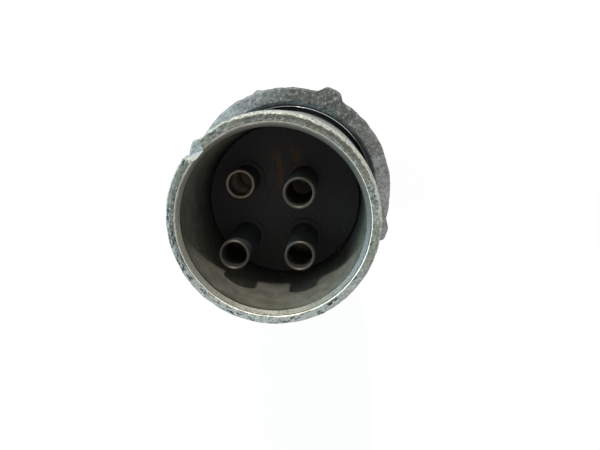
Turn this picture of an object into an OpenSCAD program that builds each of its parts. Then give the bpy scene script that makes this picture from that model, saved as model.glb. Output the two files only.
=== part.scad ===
// Four-pole circular power connector: a cable plug with a deep cup,
// four free-standing tubular contacts and a captive coupling ring.
// It stands on its cable end, mouth up. Depths are counted down from the mouth.

/* [Barrel] */
// Outside diameter of the barrel over its mating length
barrel_od = 36.5; // [32:0.5:42]
// Wall of the barrel round the cup
barrel_wall = 2.35; // [2:0.05:2.6]
// Depth of the cup, from the mouth to the insulator's face
cup_depth = 24; // [22:0.5:26]
// Length of the lead-in taper inside the mouth
lead_in_len = 1.4; // [1:0.1:2.6]
// How far the lead-in taper opens the mouth, on the radius
lead_in_step = 0.5; // [0.3:0.1:0.7]
// Length of the worn taper outside the rim
rim_taper_len = 1; // [0.6:0.1:2]
// How far the rim's outside taper draws in, on the radius
rim_taper_step = 0.4; // [0.2:0.1:0.8]
// Size of the small break on the edge between the rim's face and the lead-in
edge_break = 0.15; // [0.1:0.05:0.3]
// Length of relieved barrel seen in front of the coupling ring
ring_stand = 1.1; // [0.6:0.1:2]
// How far the barrel is relieved behind its mating length, on the radius
relief_step = 0.3; // [0.2:0.1:0.4]
// Width of the polarising keyway in the outside of the barrel
keyway_w = 5.4; // [4.8:0.2:6]
// Depth of the keyway, on the radius
keyway_depth = 1.4; // [1.2:0.1:1.5]
// Length of the keyway, from the mouth
keyway_len = 31; // [26:1:32]
// Angle of the keyway's middle, from +X
keyway_angle = 138; // [130:1:142]
// Thickness of the flange that stops the coupling ring
flange_t = 3.5; // [3:0.5:4]
// How far the flange stands out of the mating diameter, on the radius
flange_step = 0.9; // [0.7:0.1:1]
// How far the ring's sleeve lies below the mating diameter, on the radius
sleeve_drop = 0.6; // [0.5:0.05:0.7]
// How far that sleeve reaches behind the ring that is drawn back
sleeve_over = 1.4; // [1.2:0.1:2]
// How far the rear thread lies below the mating diameter, on the radius
rear_thread_drop = 1.4; // [1.3:0.1:1.5]
// Length of the barrel's rear thread
rear_thread_len = 8; // [7:0.5:9]
// Depth of the step in the bore that the insulators bear on, on the radius
bore_step = 0.9; // [0.8:0.1:1]

/* [Insulators] */
// Thickness of the front insulator's flange
insulator_flange_t = 4.3; // [4:0.1:5]
// Length of the front insulator's body behind its flange
insulator_body_len = 7.7; // [7:0.1:9]
// Thickness of the rubber disc between the insulators
seal_t = 1.5; // [1:0.1:2]
// Length of the rear insulator
rear_insulator_len = 13; // [12.5:0.1:13.5]
// Gap all round the parts that slide into the barrel
insert_gap = 0.1; // [0.05:0.05:0.15]
// Gap between parts stacked on each other
stack_gap = 0.05; // [0.03:0.01:0.08]
// Height of the raised collar round each contact on the insulator's face
boss_h = 0.6; // [0.4:0.1:1]
// Wall of that raised collar
boss_wall = 0.9; // [0.6:0.1:1]
// Thickness of the snap ring behind the insulators' retaining ring
snap_t = 1; // [0.8:0.1:1.2]
// Depth of the snap ring's groove, on the radius
snap_groove_depth = 0.6; // [0.5:0.1:0.8]
// Length of the retaining ring behind the insulators
retainer_t = 4; // [3:0.5:5]

/* [Contacts] */
// Side of the contact square, as a share of the cup's diameter
pitch_share = 0.377; // [0.36:0.001:0.38]
// Offset of the contact square along X, as a share of the cup's diameter
shift_x_share = -0.057; // [-0.057:0.001:0]
// Offset of the contact square along Y, as a share of the cup's diameter
shift_y_share = -0.0535; // [-0.054:0.0005:0]
// Outside diameter of a contact tube
contact_od = 5.6; // [5.4:0.1:5.7]
// Wall of a contact tube
contact_wall = 0.5; // [0.4:0.05:0.6]
// Depth of a contact's tip below the mouth
tip_depth = 7.5; // [6.5:0.1:9]
// How much further forward the earth contact, upper right, reaches
earth_lead = 2.9; // [1:0.1:4]
// Depth of a contact's bore
contact_bore_len = 15; // [13:0.5:17]
// How far the upper left contact has been pushed back
setback_ul = 7.7; // [7:0.1:8.5]
// How far the upper right contact sits back
setback_ur = 0; // [0:0.1:1]
// How far the lower left contact sits back
setback_ll = 0; // [0:0.1:2]
// How far the lower right contact sits back
setback_lr = 0.1; // [0:0.1:2]
// How far the collar that locates a contact stands out, on the radius
collar_step = 0.5; // [0.45:0.05:0.55]
// Length of that collar
collar_len = 2.2; // [2:0.1:2.4]
// Length of the spring clip behind each collar
clip_len = 1.4; // [1.2:0.1:1.6]
// Thickness of the spring clip
clip_t = 0.35; // [0.3:0.05:0.4]
// How far a solder cup lies below the contact's outside, on the radius
cup_drop = 0.2; // [0.15:0.05:0.3]
// Wall of a solder cup
solder_wall = 0.7; // [0.6:0.1:0.9]
// Depth of a solder cup's bore
solder_len = 7; // [6:0.5:8]
// Clearance round a contact in its hole
contact_gap = 0.08; // [0.05:0.01:0.1]

/* [Coupling ring] */
// Depth of the coupling ring's front edge when it is drawn back
ring_at = 36.6; // [36.4:0.1:37]
// Gap between the barrel and the ring's threaded mouth, on the radius
mouth_gap = 0.95; // [0.95:0.05:1.4]
// Wall of the ring's front band over the thread
ring_wall = 4.45; // [4:0.05:4.8]
// Length of the front band
ring_band_len = 5; // [4:0.5:6]
// How far the body behind the band is drawn in, on the radius
ring_waist = 0.7; // [0.4:0.1:0.8]
// Width of the chamfer at the ring's mouth
ring_chamfer = 1.1; // [0.8:0.1:1.3]
// Length of the ring from its front edge to its inner lip
lip_at = 17.4; // [17.2:0.1:17.6]
// Length of the undercut at the end of the thread
undercut_len = 3; // [2:0.5:4]
// Depth of the undercut, on the radius
undercut_depth = 0.9; // [0.6:0.1:1.1]
// How far the ring can slide forward, from the back shell to the flange
ring_travel = 6.5; // [5:0.5:7]
// Thickness of the inner lip that carries the ring
lip_t = 3.6; // [3.4:0.1:3.8]
// Radial running clearance of the lip on the sleeve
lip_gap = 0.08; // [0.06:0.01:0.1]
// Depth of the recess behind the lip, for the thrust washer
recess_len = 3; // [2.8:0.1:3.2]
// How far that recess lies outside the threaded mouth, on the radius
recess_step = 1; // [0.8:0.1:1.2]
// How far a grip lug stands out of the band
lug_h = 1.6; // [1.2:0.1:1.8]
// Width of a grip lug at its foot
lug_foot = 6.2; // [5.6:0.2:7.4]
// Width of a grip lug at its top
lug_top = 3.4; // [3:0.2:4.2]
// How far a lug's top leans to one side
lug_lean = -0.4; // [-0.8:0.1:0.8]
// Length of a grip lug along the ring
lug_len = 19; // [16:0.5:20]
// Number of grip lugs
lug_count = 4; // [3:1:6]
// Angle of the first lug, from +X
lug_angle = 67; // [0:1:89]
// Width of the small index bead on the band
bead_w = 2.4; // [1.6:0.2:3.2]
// How far that bead stands out of the band
bead_h = 0.4; // [0.2:0.05:0.6]

/* [Thrust washer and circlip] */
// Thickness of the thrust washer
washer_t = 1.3; // [1.2:0.1:1.4]
// Clearance round the thrust washer, inside and outside
washer_gap = 0.1; // [0.08:0.01:0.1]
// Diameter of the circlip's wire
circlip_wire = 0.9; // [0.8:0.05:0.95]
// Opening of the circlip
circlip_gap_w = 7; // [5:0.5:9]

/* [Back shell] */
// Gap between the coupling ring and the back shell when the ring is drawn back
ring_rest_gap = 0.15; // [0.1:0.05:0.2]
// How far the knurled collar lies inside the ring's band, on the radius
collar_drop = 2.15; // [1.5:0.05:2.3]
// Length of the knurled collar
back_collar_len = 9; // [8.5:0.5:10]
// Number of grooves in the knurled collar
flute_count = 30; // [20:2:36]
// Width of one groove
flute_w = 2; // [1.6:0.2:2.4]
// Depth of a groove
flute_depth = 0.6; // [0.4:0.1:0.8]
// Length of the back shell's cone
cone_len = 15; // [14:0.5:18]
// How far the cone starts inside the collar's outside, on the radius
cone_drop = 1; // [0.8:0.1:1.4]
// Shoulder between the cone's narrow end and the neck, on the radius
neck_shoulder = 1.1; // [0.8:0.1:1.6]
// Wall of the neck round the grommet
neck_wall = 2.8; // [2.4:0.1:3.2]
// Length of the neck
neck_len = 9.5; // [9:0.5:11]
// Ledge in front of the grommet, on the radius
throat_step = 2.1; // [1.6:0.1:2.6]
// Fit clearance of the threads, on the radius
thread_gap = 0.1; // [0.05:0.05:0.15]
// Thickness of the sealing ring's section
oring_t = 1.4; // [1.2:0.1:1.5]
// Diameter of the two lock screws
lock_d = 3; // [2.5:0.1:3.5]
// Length of the lock screws
lock_len = 3.4; // [3:0.1:3.6]

/* [Cable gland] */
// Diameter of the cable passage through the grommet
cable_id = 11; // [10:0.5:12]
// Wall of the rubber grommet
grommet_wall = 5; // [4.6:0.1:5.4]
// How far the slip washer's bore clears the cable, on the radius
slip_step = 1; // [0.8:0.1:1.5]
// Thickness of the slip washer
slip_t = 1.2; // [1:0.1:1.5]
// Wall of the gland nut over its thread, at the middle of a flat
nut_side = 2; // [1.8:0.1:2.6]
// Length of the nut over its thread
nut_skirt = 8; // [7:0.5:8.5]
// Thickness of the nut's end wall
nut_wall = 3.6; // [3:0.2:4.6]
// How far the nut's opening clears the cable, on the radius
nut_step = 1.7; // [1.5:0.1:2.4]
// Width of the flare at the nut's opening
nut_flare = 1.4; // [1:0.1:1.8]

/* [Hidden] */
$fn = 96;
eps = 0.01;

// Radii
barrel_r = barrel_od / 2;
cup_r = barrel_r - barrel_wall;
mouth_r = cup_r + lead_in_step;
flange_r = barrel_r + flange_step;
relief_r = barrel_r - relief_step;
sleeve_r = barrel_r - sleeve_drop;
rear_r = barrel_r - rear_thread_drop;
rear_bore_r = cup_r - bore_step;
contact_r = contact_od / 2;
contact_bore_r = contact_r - contact_wall;
collar_r = contact_r + collar_step;
solder_cup_r = contact_r - cup_drop;
ring_bore_r = barrel_r + mouth_gap;
ring_r = ring_bore_r + ring_wall;
recess_r = ring_bore_r + recess_step;
back_r = ring_r - collar_drop;
grommet_r = cable_id / 2 + grommet_wall;
neck_bore_r = grommet_r + 0.1;
neck_r = neck_bore_r + neck_wall;
throat_r = neck_bore_r - throat_step;
cavity_r = rear_bore_r - 0.1;
cone_big_r = back_r - cone_drop;
cone_small_r = neck_r + neck_shoulder;
pin_r = 0.8;

// The contact square, from the size of the cup
contact_pitch = 2 * cup_r * pitch_share;
pattern_x = 2 * cup_r * shift_x_share;
pattern_y = 2 * cup_r * shift_y_share;

// Depths of the stacked parts, from the mouth down
insulator_step_at = cup_depth + insulator_flange_t;
seal_at = insulator_step_at + insulator_body_len + stack_gap;
rear_insulator_at = seal_at + seal_t + stack_gap;
retainer_at = rear_insulator_at + rear_insulator_len + stack_gap;
snap_groove_t = snap_t + 0.2;
snap_at = retainer_at + retainer_t;
mating_len = ring_at - ring_stand;
ring_lip_at = ring_at + lip_at;
flange_end = ring_lip_at - ring_travel;
flange_at = flange_end - flange_t;
ring_recess_at = ring_lip_at + lip_t;
ring_end = ring_recess_at + recess_len;
sleeve_end = ring_end + sleeve_over;
barrel_end = sleeve_end + rear_thread_len;
washer_at = ring_recess_at + 0.25;
circlip_at = ring_end - circlip_wire - 0.35;
back_at = ring_end + ring_rest_gap;
oring_room = oring_t + 0.1;
back_thread_at = sleeve_end + oring_room;
back_collar_end = back_at + back_collar_len;
cone_end = back_collar_end + cone_len;
neck_end = cone_end + neck_len;
slip_at = neck_end + stack_gap;
nut_wall_at = slip_at + slip_t + stack_gap;
nut_start = nut_wall_at - nut_skirt;
total_h = nut_wall_at + nut_wall;
cavity_end = barrel_end + 2.5;
grommet_at = cone_end + stack_gap;

// Contacts, in order: upper left, upper right, lower left, lower right
contact_side = [[-1, 1], [1, 1], [-1, -1], [1, -1]];
setback = [setback_ul, setback_ur, setback_ll, setback_lr];
lead = [0, earth_lead, 0, 0];
pocket_len = 11;
pocket_r = collar_r + 0.1;
tail_len = rear_insulator_len - collar_len + solder_len + 1;
pin_angle = keyway_angle - 180;
pin_len = insulator_flange_t - 0.3;

// Turns a profile of [radius, depth below the mouth] points about the axis
module turned(profile) {
    rotate_extrude() polygon([for (p = profile) [p[0], total_h - p[1]]]);
}

// Places children at a contact's axis
module at_contact(i) {
    translate([pattern_x + contact_side[i][0] * contact_pitch / 2,
               pattern_y + contact_side[i][1] * contact_pitch / 2, 0]) children();
}

// A round hole at every contact, between two depths
module contact_holes(r, from, to) {
    for (i = [0:3])
        at_contact(i) translate([0, 0, total_h - to]) cylinder(r = r, h = to - from);
}

// Places children at the locating pin, half in the barrel's wall, half in the insulator
module at_pin() {
    rotate([0, 0, pin_angle]) translate([cup_r, 0, total_h - insulator_step_at]) children();
}

module front_barrel() {
    color("#8d8d86")
    difference() {
        turned([[mouth_r + edge_break, 0], [mouth_r, edge_break], [cup_r, lead_in_len],
                [cup_r, insulator_step_at], [rear_bore_r, insulator_step_at],
                [rear_bore_r, snap_at], [rear_bore_r + snap_groove_depth, snap_at],
                [rear_bore_r + snap_groove_depth, snap_at + snap_groove_t],
                [rear_bore_r, snap_at + snap_groove_t],
                [rear_bore_r, barrel_end], [rear_r - 0.5, barrel_end],
                [rear_r, barrel_end - 0.5], [rear_r, sleeve_end + 1.2],
                [rear_r - 0.4, sleeve_end + 0.8], [rear_r - 0.4, sleeve_end],
                [sleeve_r - 0.2, sleeve_end], [sleeve_r, sleeve_end - 0.2],
                [sleeve_r, flange_end], [flange_r - 0.3, flange_end],
                [flange_r, flange_end - 0.3], [flange_r, flange_at + 0.3],
                [flange_r - 0.3, flange_at], [relief_r, flange_at],
                [relief_r, mating_len + relief_step], [barrel_r, mating_len],
                [barrel_r, rim_taper_len], [barrel_r - rim_taper_step, 0]]);
        keyway();
        at_pin() cylinder(r = pin_r + 0.02, h = pin_len + 0.2);
    }
}

// Round-ended slot along the outside of the barrel
module keyway() {
    rotate([0, 0, keyway_angle]) {
        translate([barrel_r - keyway_depth, -keyway_w / 2, total_h - keyway_len])
            cube([keyway_depth + 1, keyway_w, keyway_len + 1]);
        translate([barrel_r - keyway_depth, 0, total_h - keyway_len])
            rotate([0, 90, 0]) cylinder(d = keyway_w, h = keyway_depth + 1);
    }
}

module flange_gasket() {
    gasket_t = 1.4;
    color("#1d1d1d")
    turned([[relief_r + 0.05, flange_at - gasket_t - stack_gap],
            [flange_r - 0.1, flange_at - gasket_t - stack_gap],
            [flange_r - 0.1, flange_at - stack_gap], [relief_r + 0.05, flange_at - stack_gap]]);
}

module locating_pin() {
    color("#b09a5a")
    at_pin() translate([0, 0, 0.15]) {
        cylinder(r = pin_r, h = pin_len - 0.2);
        translate([0, 0, pin_len - 0.2]) cylinder(r1 = pin_r, r2 = pin_r - 0.2, h = 0.2);
    }
}

// Flat spring ring with two pierced ears, in the bore's groove
module insert_snap_ring() {
    ring_in = rear_bore_r - 0.9;
    ear_r = 1.1;
    gap_a = 12;
    z = total_h - snap_at - snap_t - 0.1;
    color("#6f6a60")
    difference() {
        union() {
            difference() {
                translate([0, 0, z]) cylinder(r = rear_bore_r + snap_groove_depth - 0.15, h = snap_t);
                translate([0, 0, z - 1]) cylinder(r = ring_in, h = snap_t + 2);
            }
            for (s = [-1, 1])
                rotate([0, 0, pin_angle + s * (gap_a / 2 + 5)])
                    translate([ring_in - 0.2, 0, z]) cylinder(r = ear_r, h = snap_t);
        }
        rotate([0, 0, pin_angle]) translate([rear_bore_r, 0, z + snap_t / 2])
            cube([rear_bore_r, 2 * ring_in * sin(gap_a / 2), 2 * snap_t], center = true);
        for (s = [-1, 1])
            rotate([0, 0, pin_angle + s * (gap_a / 2 + 5)])
                translate([ring_in - 0.35, 0, z - 1]) cylinder(r = 0.5, h = snap_t + 2);
    }
}

// Moulded disc that holds the contacts, with a low collar round each of them
module front_insulator() {
    body_r = rear_bore_r - insert_gap;
    head_r = cup_r - insert_gap;
    color("#1b1917")
    difference() {
        union() {
            turned([[0, cup_depth], [head_r - 0.3, cup_depth], [head_r, cup_depth + 0.3],
                    [head_r, insulator_step_at - stack_gap], [body_r, insulator_step_at - stack_gap],
                    [body_r, seal_at - stack_gap], [0, seal_at - stack_gap]]);
            for (i = [0:3])
                at_contact(i) translate([0, 0, total_h - cup_depth - 1])
                    cylinder(r = contact_r + contact_gap + boss_wall, h = boss_h + 1);
        }
        contact_holes(contact_r + contact_gap, cup_depth - boss_h - 1, seal_at + 1);
        at_pin() translate([0, 0, -1]) cylinder(r = pin_r + 0.05, h = insulator_flange_t + 2);
    }
}

module interface_seal() {
    color("#2a2622")
    difference() {
        turned([[0, seal_at], [rear_bore_r - insert_gap, seal_at],
                [rear_bore_r - insert_gap, seal_at + seal_t], [0, seal_at + seal_t]]);
        contact_holes(pocket_r, seal_at - 1, seal_at + seal_t + 1);
    }
}

module rear_insulator() {
    end = rear_insulator_at + rear_insulator_len;
    color("#231d19")
    difference() {
        turned([[0, rear_insulator_at], [rear_bore_r - insert_gap, rear_insulator_at],
                [rear_bore_r - insert_gap, end - 0.4], [rear_bore_r - insert_gap - 0.4, end],
                [0, end]]);
        contact_holes(pocket_r, rear_insulator_at - 1, rear_insulator_at + pocket_len);
        contact_holes(solder_cup_r + contact_gap, rear_insulator_at, end + 1);
    }
}

// Threaded ring that clamps the insulators, with two spanner slots
module insert_retaining_ring() {
    ring_in = rear_bore_r - insert_gap - 1.2;
    slot_w = 2.4;
    slot_h = 1.6;
    color("#9a8f6a")
    difference() {
        turned([[ring_in, retainer_at], [rear_bore_r - insert_gap, retainer_at],
                [rear_bore_r - insert_gap, retainer_at + retainer_t - 0.3],
                [rear_bore_r - insert_gap - 0.3, retainer_at + retainer_t],
                [ring_in, retainer_at + retainer_t]]);
        for (a = [45, 225])
            rotate([0, 0, a])
                translate([ring_in - 1, -slot_w / 2, total_h - retainer_at - retainer_t - 1])
                    cube([rear_bore_r - ring_in + 2, slot_w, slot_h + 1]);
    }
}

// Hollow tubular contact: open tube in front, locating collar, solder cup behind
module contact(i) {
    tip = tip_depth + setback[i] - lead[i];
    bore_end = tip + contact_bore_len;
    collar_at = seal_at + setback[i];
    collar_end = collar_at + collar_len;
    tail_end = collar_end + tail_len;
    tip_chamfer = contact_wall * 0.4;
    solder_r = solder_cup_r - solder_wall;
    color("#a89878")
    at_contact(i)
    difference() {
        turned([[contact_bore_r + tip_chamfer, tip], [contact_r - tip_chamfer, tip],
                [contact_r, tip + tip_chamfer], [contact_r, collar_at], [collar_r, collar_at],
                [collar_r, collar_end], [solder_cup_r, collar_end],
                [solder_cup_r, tail_end],
                [solder_r, tail_end], [solder_r, tail_end - solder_len],
                [0, tail_end - solder_len - 1], [0, bore_end + 1],
                [contact_bore_r, bore_end], [contact_bore_r, tip + tip_chamfer]]);
        rotate([0, 0, atan2(contact_side[i][1], contact_side[i][0])])
            translate([solder_r / 2, -contact_od, total_h - tail_end - 1])
                cube([contact_od, 2 * contact_od, solder_len * 0.6 + 1]);
    }
}

module contact_upper_left() { contact(0); }

module contact_upper_right() { contact(1); }

module contact_lower_left() { contact(2); }

module contact_lower_right() { contact(3); }

// Split spring clips that grip behind the contacts' collars
module contact_clips() {
    clip_in = solder_cup_r + 0.1;
    clip_split = 1.4;
    color("#8c7440")
    for (i = [0:3])
        at_contact(i)
        translate([0, 0, total_h - seal_at - setback[i] - collar_len - stack_gap - clip_len])
        difference() {
            cylinder(r = clip_in + clip_t, h = clip_len);
            translate([0, 0, -1]) cylinder(r = clip_in, h = clip_len + 2);
            rotate([0, 0, i * 90]) translate([0, -clip_split / 2, -1])
                cube([contact_od, clip_split, clip_len + 2]);
        }
}

// Cast ring with grip lugs, a threaded mouth and an inner lip that runs on the sleeve
module coupling_ring() {
    waist_r = ring_r - ring_waist;
    lip_r = sleeve_r + lip_gap;
    thread_end = ring_lip_at - undercut_len;
    band_end = ring_at + ring_band_len;
    groove_r = recess_r + circlip_wire * 0.4;
    color("#7f7d76") {
        turned([[ring_bore_r + ring_chamfer, ring_at], [ring_bore_r, ring_at + ring_chamfer],
                [ring_bore_r, thread_end], [ring_bore_r + undercut_depth, thread_end + 0.4],
                [ring_bore_r + undercut_depth, ring_lip_at], [lip_r, ring_lip_at],
                [lip_r, ring_recess_at], [recess_r, ring_recess_at],
                [recess_r, circlip_at], [groove_r, circlip_at + 0.2],
                [groove_r, circlip_at + circlip_wire - 0.2],
                [recess_r, circlip_at + circlip_wire], [recess_r, ring_end],
                [waist_r - 1, ring_end], [waist_r - 0.4, ring_end - 0.5],
                [waist_r, ring_end - 1.4], [waist_r, band_end + 0.7],
                [ring_r - 0.2, band_end], [ring_r, band_end - 0.3],
                [ring_r, ring_at + 0.6], [ring_r - 0.2, ring_at + 0.2],
                [ring_r - 0.6, ring_at]]);
        for (k = [0:lug_count - 1]) rotate([0, 0, lug_angle + k * 360 / lug_count]) lug();
        rotate([0, 0, lug_angle + 41])
            translate([ring_r + bead_h - bead_w / 2, 0, total_h - band_end + 1])
                cylinder(d = bead_w, h = ring_band_len - 1.4);
    }
}

// One grip lug, its crest falling away to the rear of the ring
module lug() {
    foot_r = ring_r - ring_waist - 1;
    crest_r = ring_r + lug_h;
    front = total_h - ring_at;
    difference() {
        translate([0, 0, front - lug_len]) linear_extrude(height = lug_len)
            polygon([[foot_r, -lug_foot / 2], [ring_r - 0.2, -lug_foot / 2],
                     [crest_r - 0.3, lug_lean - lug_top / 2], [crest_r, lug_lean - lug_top / 2 + 0.5],
                     [crest_r, lug_lean + lug_top / 2 - 0.5], [crest_r - 0.3, lug_lean + lug_top / 2],
                     [ring_r - 0.2, lug_foot / 2], [foot_r, lug_foot / 2]]);
        translate([crest_r, 0, front - lug_len]) rotate([0, 30, 0])
            cube([4 * lug_h, 2 * lug_foot, 4 * lug_h], center = true);
        translate([crest_r, 0, front]) rotate([0, 45, 0])
            cube([0.8, 2 * lug_foot, 0.8], center = true);
    }
}

module ring_circlip() {
    wire_r = circlip_wire / 2;
    mid_r = recess_r - wire_r * 0.35;
    color("#5f5c57")
    difference() {
        translate([0, 0, total_h - circlip_at - wire_r])
            rotate_extrude() translate([mid_r, 0]) circle(r = wire_r - 0.04, $fn = 24);
        translate([0, -circlip_gap_w / 2, total_h - circlip_at - 2 * circlip_wire])
            cube([2 * recess_r, circlip_gap_w, 4 * circlip_wire]);
    }
}

module thrust_washer() {
    washer_in = sleeve_r + washer_gap;
    washer_out = recess_r - washer_gap - 0.15;
    color("#b3a673")
    turned([[washer_in, washer_at], [washer_out, washer_at], [washer_out, washer_at + washer_t],
            [washer_in, washer_at + washer_t]]);
}

module shell_gasket() {
    mid_r = rear_r + oring_t / 2 + 0.05;
    color("#1a1a1a")
    translate([0, 0, total_h - sleeve_end - oring_t / 2 - stack_gap])
        rotate_extrude() translate([mid_r, 0]) circle(r = oring_t / 2, $fn = 24);
}

// End bell: knurled collar, cone and threaded neck
module back_shell() {
    counter_r = rear_r + oring_t + 0.25;
    lock_at = back_thread_at + 2.6;
    color("#8a8982")
    difference() {
        turned([[sleeve_r + thread_gap, back_at], [sleeve_r + thread_gap, sleeve_end - 0.4],
                [counter_r, sleeve_end - 0.4], [counter_r, back_thread_at],
                [rear_r + thread_gap, back_thread_at], [rear_r + thread_gap, barrel_end + 0.6],
                [cavity_r, barrel_end + 0.6], [cavity_r, cavity_end],
                [throat_r, cone_end - 2], [throat_r, cone_end],
                [neck_bore_r, cone_end], [neck_bore_r, neck_end],
                [neck_r - 0.8, neck_end], [neck_r, neck_end - 0.8], [neck_r, cone_end + 1.6],
                [neck_r - 0.6, cone_end + 1], [neck_r - 0.6, cone_end + 0.2],
                [cone_small_r, cone_end], [cone_small_r + 0.4, cone_end - 1],
                [cone_big_r - 0.6, back_collar_end + 1], [cone_big_r - 0.4, back_collar_end],
                [back_r - 0.6, back_collar_end], [back_r, back_collar_end - 0.6],
                [back_r, back_at + 0.6], [back_r - 0.6, back_at]]);
        for (k = [0:flute_count - 1])
            rotate([0, 0, k * 360 / flute_count])
                translate([back_r + flute_w / 2 - flute_depth, 0, total_h - back_collar_end - 1])
                    cylinder(d = flute_w, h = back_collar_len + 2, $fn = 24);
        for (a = [0, 180])
            rotate([0, 0, a]) translate([rear_r - 1, 0, total_h - lock_at])
                rotate([0, 90, 0]) cylinder(d = lock_d + 0.1, h = back_r);
    }
}

// Two slotted grub screws that lock the back shell on the barrel's thread
module lock_screws() {
    lock_at = back_thread_at + 2.6;
    slot_w = 0.6;
    color("#6b6860")
    for (a = [0, 180])
        rotate([0, 0, a]) translate([rear_r + 0.15, 0, total_h - lock_at])
        difference() {
            rotate([0, 90, 0]) cylinder(d = lock_d, h = lock_len);
            translate([lock_len - 0.8, -slot_w / 2, -lock_d]) cube([2, slot_w, 2 * lock_d]);
        }
}

module cable_grommet() {
    out_r = grommet_r;
    end = neck_end - stack_gap;
    color("#242424")
    turned([[cable_id / 2 + 0.8, grommet_at], [out_r - 1, grommet_at], [out_r, grommet_at + 1],
            [out_r, end - 1], [out_r - 1, end], [cable_id / 2 + 0.8, end],
            [cable_id / 2, end - 1], [cable_id / 2, grommet_at + 1]]);
}

module slip_washer() {
    slip_r = cable_id / 2 + slip_step;
    color("#a89c6c")
    turned([[slip_r, slip_at], [grommet_r, slip_at],
            [grommet_r, slip_at + slip_t], [slip_r, slip_at + slip_t]]);
}

// Hexagon nut that squeezes the grommet on the cable
module gland_nut() {
    thread_r = neck_r + thread_gap;
    flat_r = thread_r + nut_side;
    corner_r = 2 * flat_r / sqrt(3);
    hole_r = cable_id / 2 + nut_step;
    color("#85837b")
    difference() {
        intersection() {
            linear_extrude(height = total_h - nut_start) circle(r = corner_r, $fn = 6);
            turned([[0, nut_start], [flat_r, nut_start], [corner_r, nut_start + 1.2],
                    [corner_r, total_h - 1.2], [flat_r, total_h], [0, total_h]]);
        }
        turned([[0, nut_start - 1], [thread_r + 0.6, nut_start - 1], [thread_r + 0.6, nut_start],
                [thread_r, nut_start + 0.6], [thread_r, nut_wall_at], [0, nut_wall_at]]);
        turned([[0, nut_start], [hole_r, nut_start], [hole_r, total_h - nut_flare],
                [hole_r + nut_flare, total_h], [hole_r + nut_flare, total_h + 1],
                [0, total_h + 1]]);
    }
}

front_barrel();
flange_gasket();
locating_pin();
insert_snap_ring();
front_insulator();
interface_seal();
rear_insulator();
insert_retaining_ring();
contact_upper_left();
contact_upper_right();
contact_lower_left();
contact_lower_right();
contact_clips();
coupling_ring();
ring_circlip();
thrust_washer();
shell_gasket();
back_shell();
lock_screws();
cable_grommet();
slip_washer();
gland_nut();
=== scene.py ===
import bpy, math
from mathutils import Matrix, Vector


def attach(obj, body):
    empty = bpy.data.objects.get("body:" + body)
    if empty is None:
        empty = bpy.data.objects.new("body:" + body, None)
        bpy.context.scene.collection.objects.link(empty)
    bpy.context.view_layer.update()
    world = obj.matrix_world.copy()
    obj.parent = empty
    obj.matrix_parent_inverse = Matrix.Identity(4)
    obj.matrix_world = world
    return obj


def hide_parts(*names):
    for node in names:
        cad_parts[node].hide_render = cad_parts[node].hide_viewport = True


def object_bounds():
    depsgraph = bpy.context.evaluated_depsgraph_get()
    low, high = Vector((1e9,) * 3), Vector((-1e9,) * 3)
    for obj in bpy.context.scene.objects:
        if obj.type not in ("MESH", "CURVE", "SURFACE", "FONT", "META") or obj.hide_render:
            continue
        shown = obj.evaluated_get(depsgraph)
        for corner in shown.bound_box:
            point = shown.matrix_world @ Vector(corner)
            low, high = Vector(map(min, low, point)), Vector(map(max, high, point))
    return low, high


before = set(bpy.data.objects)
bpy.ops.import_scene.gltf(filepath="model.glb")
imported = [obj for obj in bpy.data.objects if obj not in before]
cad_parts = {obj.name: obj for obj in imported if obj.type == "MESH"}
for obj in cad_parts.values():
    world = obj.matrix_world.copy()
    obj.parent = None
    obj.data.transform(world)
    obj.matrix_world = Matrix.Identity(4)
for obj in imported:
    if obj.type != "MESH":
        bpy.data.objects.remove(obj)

cad_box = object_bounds()

# ---------------------------------------------------------------- camera, lamps and floor
# The plug is looked at from a hand's breadth in front of its mouth. Seen so, +Y is above and +X
# on the right, which the comments on finishes keep to. A warm lamp shines low across the mouth
# from above and a dim cool window stands to the left.
MM = 0.001
mouth_z = cad_box[1].z        # the plug stands on its cable end, so its mouth is where Z is greatest
bpy.ops.object.select_all(action="DESELECT")
bpy.ops.object.camera_add(location=(9.27 * MM, 17.55 * MM, mouth_z + 83.39 * MM),
                          rotation=[math.radians(a) for a in (-12.03, 3.233, 0.231)])
camera = bpy.context.object
camera.data.lens = 31.2
camera.data.sensor_width = 36
camera.data.clip_start = 0.002
bpy.context.scene.camera = camera
bpy.context.scene.view_settings.view_transform = "Standard"


def paint(code):
    """An sRGB hex colour as linear values."""
    parts = [int(code[i:i + 2], 16) / 255 for i in (1, 3, 5)]
    return [p / 12.92 if p <= 0.04045 else ((p + 0.055) / 1.055) ** 2.4 for p in parts] + [1]


def add_node(tree, kind, settings={}, links={}):
    """Adds a node, sets its properties, sockets and colour stops, and links its inputs."""
    made = tree.nodes.new("ShaderNode" + kind)
    for name, value in settings.items():
        if name == "stops":
            for stop, (place, code) in zip(made.color_ramp.elements, value):
                stop.position = place
                stop.color = paint(code)
        elif isinstance(name, str) and hasattr(made, name):
            setattr(made, name, value)
        else:
            made.inputs[name].default_value = value
    for name, source in links.items():
        tree.links.new(source, made.inputs[name])
    return made


lamp_side = Vector((-0.06, 1.0, 0.49)).normalized()
bpy.ops.object.light_add(type="SUN", rotation=lamp_side.to_track_quat("Z", "Y").to_euler())
lamp = bpy.context.object
lamp.data.energy = 3.0
lamp.data.angle = math.radians(3.0)
lamp.data.color = (1.0, 0.975, 0.94)

window_at = Vector((-0.40, 0.08, mouth_z + 0.19))
window_side = window_at - Vector((0, 0, mouth_z))
bpy.ops.object.light_add(type="AREA", location=window_at,
                         rotation=window_side.to_track_quat("Z", "Y").to_euler())
window = bpy.context.object
window.data.shape = "RECTANGLE"
window.data.size = 0.30
window.data.size_y = 0.32
window.data.energy = 2.4
window.data.color = (0.62, 0.88, 1.0)

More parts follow.
